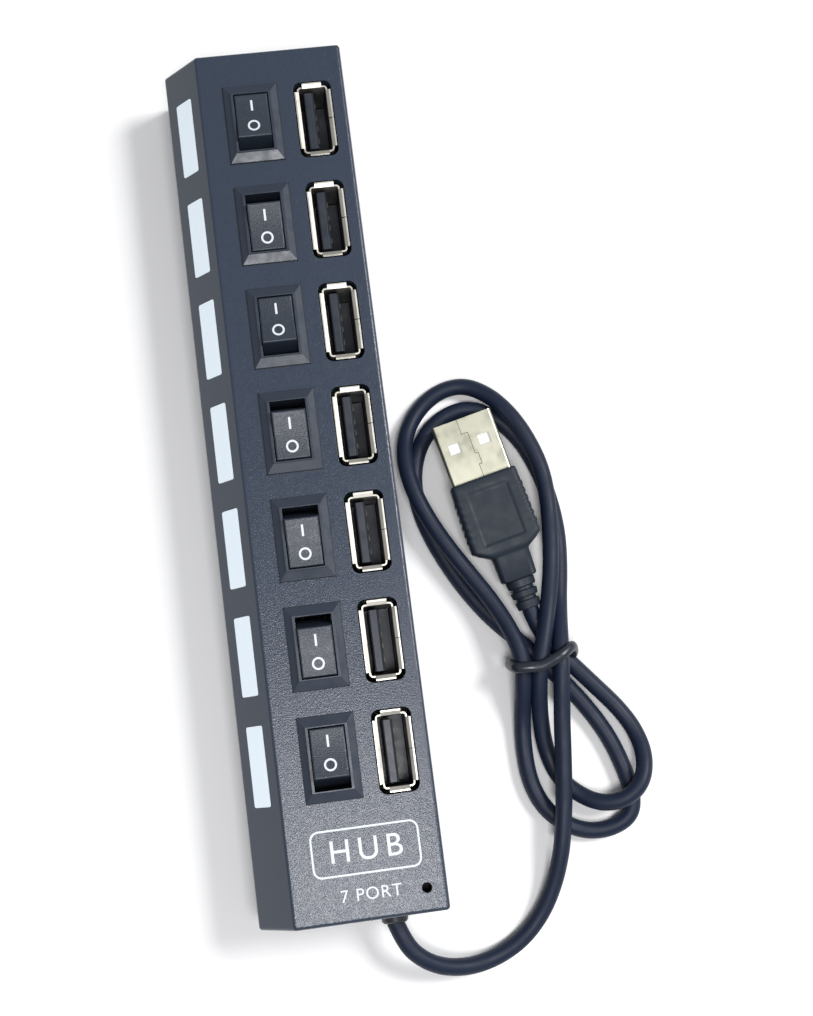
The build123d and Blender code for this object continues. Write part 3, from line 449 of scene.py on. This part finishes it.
# Plug: X across, Y along to the tip, Z up out of its face.
PLUG_TURN, PLUG_TILT, PLUG_ROLL = radians(13), radians(3), radians(6)
PLUG_ORIGIN = Vector((39.4, -23.2, 4.6))
SHELL_TOP = 2.25
PLUG_SEAM = 0.1
SEAM_SUNK = 0.05
PROUD = 0.012
PANEL = (-4.1, 4.1, 7.9, 18.6)
PANEL_DEPTH = 0.14
PANEL_WALL = 0.22
CORNER_STEPS = 6
RIB_START, RIB_PITCH, RIB_COUNT = 9.4, 1.5, 6
RIB_PROUD = 0.16


def plug_place():
    level = Vector((cos(PLUG_TURN), sin(PLUG_TURN), 0))
    along = Vector((-sin(PLUG_TURN) * cos(PLUG_TILT), cos(PLUG_TURN) * cos(PLUG_TILT), sin(PLUG_TILT)))
    across = level * cos(PLUG_ROLL) + level.cross(along) * sin(PLUG_ROLL)
    turn = Matrix((across, along, across.cross(along))).transposed()
    return Matrix.Translation(PLUG_ORIGIN * MM) @ turn.to_4x4()


def between(value, start, end, low, high):
    share = min(max((value - start) / (end - start), 0), 1)
    return low + (high - low) * share


def panel_drop(x, y):
    """How far the grip's top is sunk inside its panel."""
    left, right, back, front = PANEL
    inside = min(x - left, right - x, y - back, front - y)
    return -PANEL_DEPTH * between(inside, 0, PANEL_WALL, 0, 1)


PANEL_X = (-4.6, -4.1, -3.88, -3.6, -2, 0, 2, 3.6, 3.88, 4.1, 4.6)


def grip_ring(y, half_x, half_z, radius):
    """Rounded section of the grip at a distance from its back, the top sampled closely."""
    flat_x, flat_z = half_x - radius, half_z - radius
    spread = min(flat_x / 5.7, 1)
    ring = [(x * spread, y, half_z + panel_drop(x * spread, y)) for x in PANEL_X]
    corners = (
        (flat_x, flat_z, 90, 0), (flat_x, -flat_z, 0, -90),
        (-flat_x, -flat_z, -90, -180), (-flat_x, flat_z, 180, 90),
    )
    for centre_x, centre_z, start, end in corners:
        for step in range(CORNER_STEPS + 1):
            angle = radians(start + (end - start) * step / CORNER_STEPS)
            ring.append((centre_x + radius * cos(angle), y, centre_z + radius * sin(angle)))
    return ring


def make_grip():
    rings = []
    relief = [
        (-5.8, 2.1), (-5.7, 2.25), (-4.3, 2.42), (-4.15, 2.2), (-4.1, 1.95), (-3.55, 1.95),
        (-3.5, 2.3), (-3.35, 2.52), (-2.35, 2.66), (-2.2, 2.5), (-2.15, 2.1), (-1.6, 2.1),
        (-1.55, 2.5), (-1.4, 2.75), (-0.1, 2.85), (0.05, 2.6),
    ]
    for y, radius in relief:
        rings.append(grip_ring(y, radius, radius, radius * 0.9))
    neck = [(0.06, 3.0, 2.6), (0.1, 3.2, 2.9), (0.35, 3.5, 3.1), (5.0, 3.65, 3.3), (5.4, 3.8, 3.4)]
    for y, half_x, half_z in neck:
        rings.append(grip_ring(y, half_x, half_z, 1.2))
    shoulder = [(5.7, 4.3, 3.7), (6.5, 5.6, 3.88), (7.3, 6.75, 3.98), (7.6, 6.95, 4.0)]
    for y, half_x, half_z in shoulder:
        rings.append(grip_ring(y, half_x, half_z, 1.15))
    body = [7.9, 8.12, 8.4]
    for rib in range(RIB_COUNT):
        start = RIB_START + rib * RIB_PITCH
        body += [start, start + 0.15, start + 0.75, start + 0.9]
    body += [18.38, 18.6, 19.4, 20.3]
    for y in body:
        rib_share = (y - RIB_START) % RIB_PITCH
        ribbed = RIB_START < y < 17.9 and 0.1 < rib_share < 0.8
        half_x = between(y, 7.6, 20.3, 6.92, 6.62) + (RIB_PROUD if ribbed else 0)
        rings.append(grip_ring(y, half_x, 4.0, 1.05))
    rings.append(grip_ring(20.6, 6.52, 3.92, 0.95))
    rings.append(grip_ring(20.78, 6.3, 3.7, 0.8))
    points = [point for ring in rings for point in ring]
    faces = ring_faces(len(rings), len(rings[0]), False)
    grip = mesh_piece("plug_grip_moulding", points, faces, GRIP, ROOT, plug_place())
    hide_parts("plug_grip")
    return grip


def make_plug_seam():
    """Folded seam down the shell's top, with the lugs that lock it."""
    high = SHELL_TOP
    half = PLUG_SEAM / 2
    runs = [
        ((-0.9, 29.9), (-0.9, 32.88)), ((-0.9, 29.9), (0.35, 29.9)), ((0.35, 25.6), (0.35, 29.9)),
        ((0.35, 25.6), (0.95, 25.6)), ((0.95, 23.4), (0.95, 25.6)), ((0.35, 23.4), (0.95, 23.4)),
        ((0.35, 20.9), (0.35, 23.4)),
    ]
    boxes = [
        ((x0 - half, y0 - half, high - SEAM_SUNK), (x1 + half, y1 + half, high + PROUD))
        for (x0, y0), (x1, y1) in runs
    ]
    return boxes_piece("plug_seam", boxes, DARK, ROOT, plug_place())


tie = make_tie()
grip = make_grip()
plug_seam = make_plug_seam()

# Marks on each rocker: a bar at the far end and a ring at the near end.
ROCKER_TILT = 8
ROCKER_FACE = 7.1
ROCKER_HALF_FACE = 4.4
ROCKER_HOLLOW = 0.3
ROCKER_CURVE = (ROCKER_HALF_FACE**2 + ROCKER_HOLLOW**2) / (2 * ROCKER_HOLLOW)
SUNK = 0.02
BAR = (0.2, 1.05)
BAR_Y = 2.1
MARK_RING = (0.78, 1.14)
RING_Y = -2.1
COVER_TOP = 22.0
SUNK_SEAM = 0.1
BEZEL_HALF = (5.12, 7.62)
BEZEL_SEAM = 0.16
PORT_X = 10.67
PORT_Y_SHIFT = -0.15
PORT_SEAM = 0.12
PORT_SEAM_X = (2.56, 3.41)
PORT_SEAM_Z = (21.4, 22.01)


def row_place(row):
    """The rocker's hinge, turned to its stored tilt."""
    joint = ROW_JOINTS[f"rocker_{row}_tilt"]
    tilt = radians(-ROCKER_TILT if joint["range_deg"][1] > 0 else ROCKER_TILT)
    return Matrix.Translation(Vector(joint["pos_m"])) @ Matrix.Rotation(tilt, 4, "X")


def on_face(x, y, proud):
    """A point a little over the rocker's hollow face."""
    return (x, y, ROCKER_FACE - ROCKER_HOLLOW + ROCKER_CURVE - (ROCKER_CURVE**2 - y * y) ** 0.5 + proud)


def make_marks(row):
    bar = []
    for step in range(7):
        y = BAR_Y + BAR[1] * (step / 3 - 1)
        bar += [on_face(-BAR[0], y, -SUNK), on_face(-BAR[0], y, PROUD)]
        bar += [on_face(BAR[0], y, PROUD), on_face(BAR[0], y, -SUNK)]
    ring = []
    sides = 36
    inner, outer = MARK_RING
    for side in range(sides):
        across, along = cos(2 * pi * side / sides), sin(2 * pi * side / sides)
        for radius, proud in ((inner, -SUNK), (inner, PROUD), (outer, PROUD), (outer, -SUNK)):
            ring.append(on_face(radius * across, RING_Y + radius * along, proud))
    points = bar + ring
    faces = ring_faces(7, 4, False)
    faces += [tuple(len(bar) + corner for corner in face) for face in ring_faces(sides, 4, True)]
    name, body = f"rocker_marks_{row}", f"rocker_{row}"
    mesh_piece(name, points, faces, INK, body, row_place(row), smooth=False)


def make_port_seam(row):
    """Joint in the socket's sheet where its right lip meets itself."""
    middle = ROW_JOINTS[f"rocker_{row}_tilt"]["pos_m"][1] / MM + PORT_Y_SHIFT
    half = PORT_SEAM / 2
    low = (PORT_X + PORT_SEAM_X[0], middle - half, PORT_SEAM_Z[0])
    box = (low, (PORT_X + PORT_SEAM_X[1], middle + half, PORT_SEAM_Z[1]))
    boxes_piece(f"port_seam_{row}", [box], DARK, ROOT)


def make_bezel_seam(row):
    """Shadow line between the cover and the switch's rim."""
    x, y = (value / MM for value in ROW_JOINTS[f"rocker_{row}_tilt"]["pos_m"][:2])
    low, high = COVER_TOP - SUNK_SEAM, COVER_TOP + PROUD
    half_x, half_y = BEZEL_HALF
    sides = [
        ((x - half_x, y - half_y, low), (x - half_x + BEZEL_SEAM, y + half_y, high)),
        ((x + half_x - BEZEL_SEAM, y - half_y, low), (x + half_x, y + half_y, high)),
        ((x - half_x, y - half_y, low), (x + half_x, y - half_y + BEZEL_SEAM, high)),
        ((x - half_x, y + half_y - BEZEL_SEAM, low), (x + half_x, y + half_y, high)),
    ]
    boxes_piece(f"bezel_seam_{row}", sides, DARK, ROOT)


for row in ROWS:
    make_marks(row)
    make_port_seam(row)
    make_bezel_seam(row)

# Print on the cover: an outlined word and a line of small letters.
OUTLINE_CENTRE = (3.4, -68.2)
OUTLINE_HALF = (9.6, 4.1)
OUTLINE_RADIUS = 1.6
OUTLINE_STROKE = 0.34
WORD_HEIGHT, WORD_SPACING = 5.6, 1.35
LETTERS_CENTRE = (3.45, -75.8)
LETTERS_HEIGHT, LETTERS_SPACING = 3.0, 1.12


def rounded_outline(half_x, half_y, radius, steps=8):
    outline = []
    for corner, (sign_x, sign_y) in enumerate(((1, 1), (-1, 1), (-1, -1), (1, -1))):
        for step in range(steps + 1):
            angle = radians(90 * corner + 90 * step / steps)
            x = sign_x * (half_x - radius) + radius * cos(angle)
            y = sign_y * (half_y - radius) + radius * sin(angle)
            outline.append((x, y))
    return outline


def make_outline():
    half_x, half_y = OUTLINE_HALF
    inner = rounded_outline(half_x - OUTLINE_STROKE, half_y - OUTLINE_STROKE, OUTLINE_RADIUS - OUTLINE_STROKE)
    outer = rounded_outline(half_x, half_y, OUTLINE_RADIUS)
    low, high = COVER_TOP - SUNK, COVER_TOP + PROUD
    points = []
    for (inner_x, inner_y), (outer_x, outer_y) in zip(inner, outer):
        corners = (
            (inner_x, inner_y, low), (inner_x, inner_y, high),
            (outer_x, outer_y, high), (outer_x, outer_y, low),
        )
        for x, y, z in corners:
            points.append((x + OUTLINE_CENTRE[0], y + OUTLINE_CENTRE[1], z))
    faces = ring_faces(len(inner), 4, True)
    mesh_piece("print_outline", points, faces, INK, ROOT, smooth=False)


def make_print(name, words, centre, height, spacing):
    letters = bpy.data.curves.new(name, "FONT")
    letters.body = words
    letters.size = height * MM
    letters.space_character = spacing
    letters.extrude = PROUD * MM
    letters.align_x = "CENTER"
    letters.align_y = "CENTER"
    piece = bpy.data.objects.new(name, letters)
    piece.location = Vector((*centre, COVER_TOP)) * MM
    bpy.context.collection.objects.link(piece)
    paint(piece, INK)
    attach(piece, ROOT)


make_outline()
make_print("print_word", "HUB", OUTLINE_CENTRE, WORD_HEIGHT, WORD_SPACING)
make_print("print_ports", "7 PORT", LETTERS_CENTRE, LETTERS_HEIGHT, LETTERS_SPACING)

# ---------------------------------------------------------------- floor and light

FLOOR_REACH = 3.0
FLOOR_GAP = 0.00002
WORLD_STRENGTH = 0.34
SOFTBOX_PLACE = (0.012, -0.150, 0.50)
SOFTBOX_TARGET = (0.012, -0.150, 0)
SOFTBOX_SIZE = (0.16, 0.13)
SOFTBOX_POWER = 1.35
KEY_PLACE = (0.97, 0.29, 1.28)
KEY_SIZE = (0.46, 0.46)
KEY_POWER = 19.0


def make_floor():
    surface = Surface("floor_paper", (0.90, 0.90, 0.90), 0.75)
    surface.bump(surface.noise(40), 0.02)
    surface.vary_colour(surface.noise(12), (0.89, 0.89, 0.89), (0.91, 0.91, 0.91))
    corners = [(x * FLOOR_REACH, y * FLOOR_REACH, 0) for x, y in ((-1, -1), (1, -1), (1, 1), (-1, 1))]
    mesh = bpy.data.meshes.new("floor")
    mesh.from_pydata(corners, [], [(0, 1, 2, 3)])
    floor = bpy.data.objects.new("floor", mesh)
    floor.location.z = -FLOOR_GAP
    bpy.context.collection.objects.link(floor)
    paint(floor, surface.material)


def make_light(name, place, target, size, power, colour=(1, 1, 1)):
    light = bpy.data.lights.new(name, "AREA")
    light.shape = "RECTANGLE"
    light.size, light.size_y = size
    light.energy = power
    light.color = colour
    holder = bpy.data.objects.new(name, light)
    holder.location = place
    holder.rotation_euler = (Vector(target) - Vector(place)).to_track_quat("-Z", "Y").to_euler()
    bpy.context.collection.objects.link(holder)


def make_world(strength):
    world = bpy.data.worlds.new("room")
    world.use_nodes = True
    background = world.node_tree.nodes["Background"]
    background.inputs["Color"].default_value = (0.96, 0.98, 1.0, 1)
    background.inputs["Strength"].default_value = strength
    bpy.context.scene.world = world


make_floor()
make_world(WORLD_STRENGTH)
make_light("softbox", SOFTBOX_PLACE, SOFTBOX_TARGET, SOFTBOX_SIZE, SOFTBOX_POWER, (1.0, 0.99, 1.0))
make_light("key", KEY_PLACE, (0, 0, 0), KEY_SIZE, KEY_POWER)
bpy.context.scene.view_settings.view_transform = "Standard"

bpy.context.view_layer.update()
